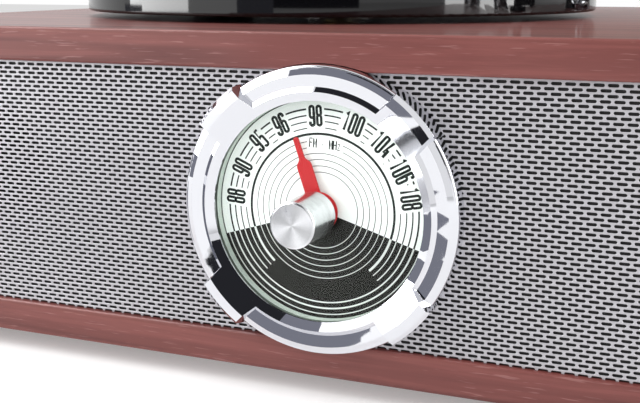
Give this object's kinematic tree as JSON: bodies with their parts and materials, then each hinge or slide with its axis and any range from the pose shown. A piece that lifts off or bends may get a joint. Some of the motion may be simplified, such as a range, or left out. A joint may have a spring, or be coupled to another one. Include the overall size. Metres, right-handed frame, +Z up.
{
  "type": "turntable with radio",
  "caption": "Tabletop record player with a built-in FM radio: wooden cabinet, slotted metal grille, chrome-ringed tuning dial, belt-driven platter, tonearm and hinged dust cover.",
  "frame": {"origin": "on the table under the middle of the whole outline, with the dust cover open as it rests", "axes": "+X to the listener's right, +Y to the back, +Z up"},
  "size_m": [0.43, 0.3944, 0.4359],
  "materials": {
    "mahogany": "reddish brown mahogany veneer under gloss lacquer, long streaks",
    "black_board": "fibreboard painted matt black",
    "grille_silver": "light silver paint, fine rounded slots",
    "chrome": "mirror chrome plate",
    "turned_aluminium": "turned and spun faces",
    "steel": "plain steel",
    "brass": "machined",
    "gold_plate": "plated contact barrels",
    "dial_print": "cool white plate, black lower sector, printed rings and numbers",
    "clear_glass": "clear, faint green at the edge",
    "tinted_acrylic": "pale green acrylic ring under the rim of the glass",
    "red_pointer": "red enamel",
    "black_gloss": "polished black",
    "black_plastic": "satin black moulding",
    "stylus_red": "stylus carrier",
    "rubber": "black rubber",
    "speaker_basket": "black pressed steel",
    "speaker_paper": "doped paper cone",
    "magnet": "ferrite ring",
    "circuit_board": "board and components",
    "smoked_acrylic": "smoke tinted clear acrylic"
  },
  "bodies": {
    "cabinet": {"deck_board": "mahogany", "bottom_board": "mahogany", "left_side": "mahogany", "right_side": "mahogany", "front_baffle": "black_board", "back_panel": "black_board", "back_battens": "black_board", "speaker_grille": "grille_silver", "dial_bezel": "chrome", "tonearm_base": "chrome", "spindle": "steel", "wood_screws": "steel", "bezel_screws": "steel", "spindle_nut": "steel", "platter_bearing": "steel", "hinge_pins": "steel", "motor": "steel", "rca_sockets": "gold_plate", "dial_plate": "dial_print", "dial_glass": "clear_glass", "dial_spacer": "tinted_acrylic", "dial_housing": "black_plastic", "tuning_gang": "black_plastic", "arm_rest": "black_plastic", "cue_guide": "black_plastic", "control_bodies": "black_plastic", "hinge_blocks": "black_plastic", "mains_inlet": "black_plastic", "feet": "rubber", "drive_belt": "rubber", "speaker_frames": "speaker_basket", "speaker_cones": "speaker_paper", "speaker_magnets": "magnet", "main_board": "circuit_board"},
    "tuning": {"tuning_knob": "turned_aluminium", "tuning_shaft": "steel", "pointer": "red_pointer"},
    "platter": {"platter": "black_gloss", "platter_bush": "brass", "platter_mat": "rubber"},
    "motor_drive": {"motor_shaft": "steel", "motor_pulley": "brass"},
    "arm_swing": {"arm_turret": "steel"},
    "tonearm": {"arm_block": "turned_aluminium", "tonearm_tube": "turned_aluminium", "counterweight": "steel", "headshell": "black_plastic", "cartridge": "black_plastic", "stylus": "stylus_red"},
    "cue_lift": {"cue_lift": "steel"},
    "cue_lever": {"cue_lever": "black_plastic"},
    "volume": {"volume_knob": "turned_aluminium", "volume_shaft": "steel"},
    "selector": {"selector_knob": "turned_aluminium", "selector_shaft": "steel"},
    "speed": {"speed_lever": "black_plastic"},
    "adapter": {"single_adapter": "black_plastic"},
    "lid": {"dust_cover": "smoked_acrylic", "lid_bumpers": "rubber", "hinge_arms": "black_plastic"}
  },
  "joints": [
    {"name": "tuning_turn", "type": "hinge", "parent": "cabinet", "child": "tuning", "pos_m": [0, -0.17247, 0.0635], "axis": [0, -1, 0], "range_deg": [-109, 71]},
    {"name": "platter_spin", "type": "hinge", "parent": "cabinet", "child": "platter", "pos_m": [-0.055, -0.01447, 0.1225], "axis": [0, 0, -1], "continuous": true},
    {"name": "pulley_spin", "type": "hinge", "parent": "cabinet", "child": "motor_drive", "pos_m": [-0.12147, 0.052, 0.1236], "axis": [0, 0, -1], "continuous": true},
    {"name": "arm_swing", "type": "hinge", "parent": "cabinet", "child": "arm_swing", "pos_m": [0.118, 0.06553, 0.151], "axis": [0, 0, -1], "range_deg": [0, 48]},
    {"name": "arm_lift", "type": "hinge", "parent": "arm_swing", "child": "tonearm", "pos_m": [0.118, 0.06553, 0.151], "axis": [-1, 0, 0], "range_deg": [0, 7]},
    {"name": "cue_lever_turn", "type": "hinge", "parent": "cabinet", "child": "cue_lever", "pos_m": [0.13389, 0.02866, 0.131], "axis": [-1, 0, 0], "range_deg": [0, 60]},
    {"name": "cue_lift_rise", "type": "slide", "parent": "cabinet", "child": "cue_lift", "axis": [0, 0, 1], "range_m": [0, 0.0042]},
    {"name": "volume_turn", "type": "hinge", "parent": "cabinet", "child": "volume", "pos_m": [0.181, -0.12947, 0.1208], "axis": [0, 0, -1], "range_deg": [-150, 150]},
    {"name": "selector_turn", "type": "hinge", "parent": "cabinet", "child": "selector", "pos_m": [0.181, -0.08247, 0.1208], "axis": [0, 0, -1], "range_deg": [-45, 45]},
    {"name": "speed_turn", "type": "hinge", "parent": "cabinet", "child": "speed", "pos_m": [0.181, -0.02447, 0.1208], "axis": [0, 0, -1], "range_deg": [-35, 35]},
    {"name": "adapter_lift", "type": "slide", "parent": "cabinet", "child": "adapter", "axis": [0, 0, 1], "range_m": [0, 0.03]},
    {"name": "lid_hinge", "type": "hinge", "parent": "cabinet", "child": "lid", "pos_m": [0, 0.14753, 0.127], "axis": [-1, 0, 0], "range_deg": [-62, 0]}
  ],
  "couplings": [
    {"joint": "pulley_spin", "follows": "platter_spin", "ratio": 14.248},
    {"joint": "cue_lever_turn", "follows": "arm_lift", "ratio": 8.5713},
    {"joint": "cue_lift_rise", "follows": "arm_lift", "m_per_rad": 0.034376}
  ]
}
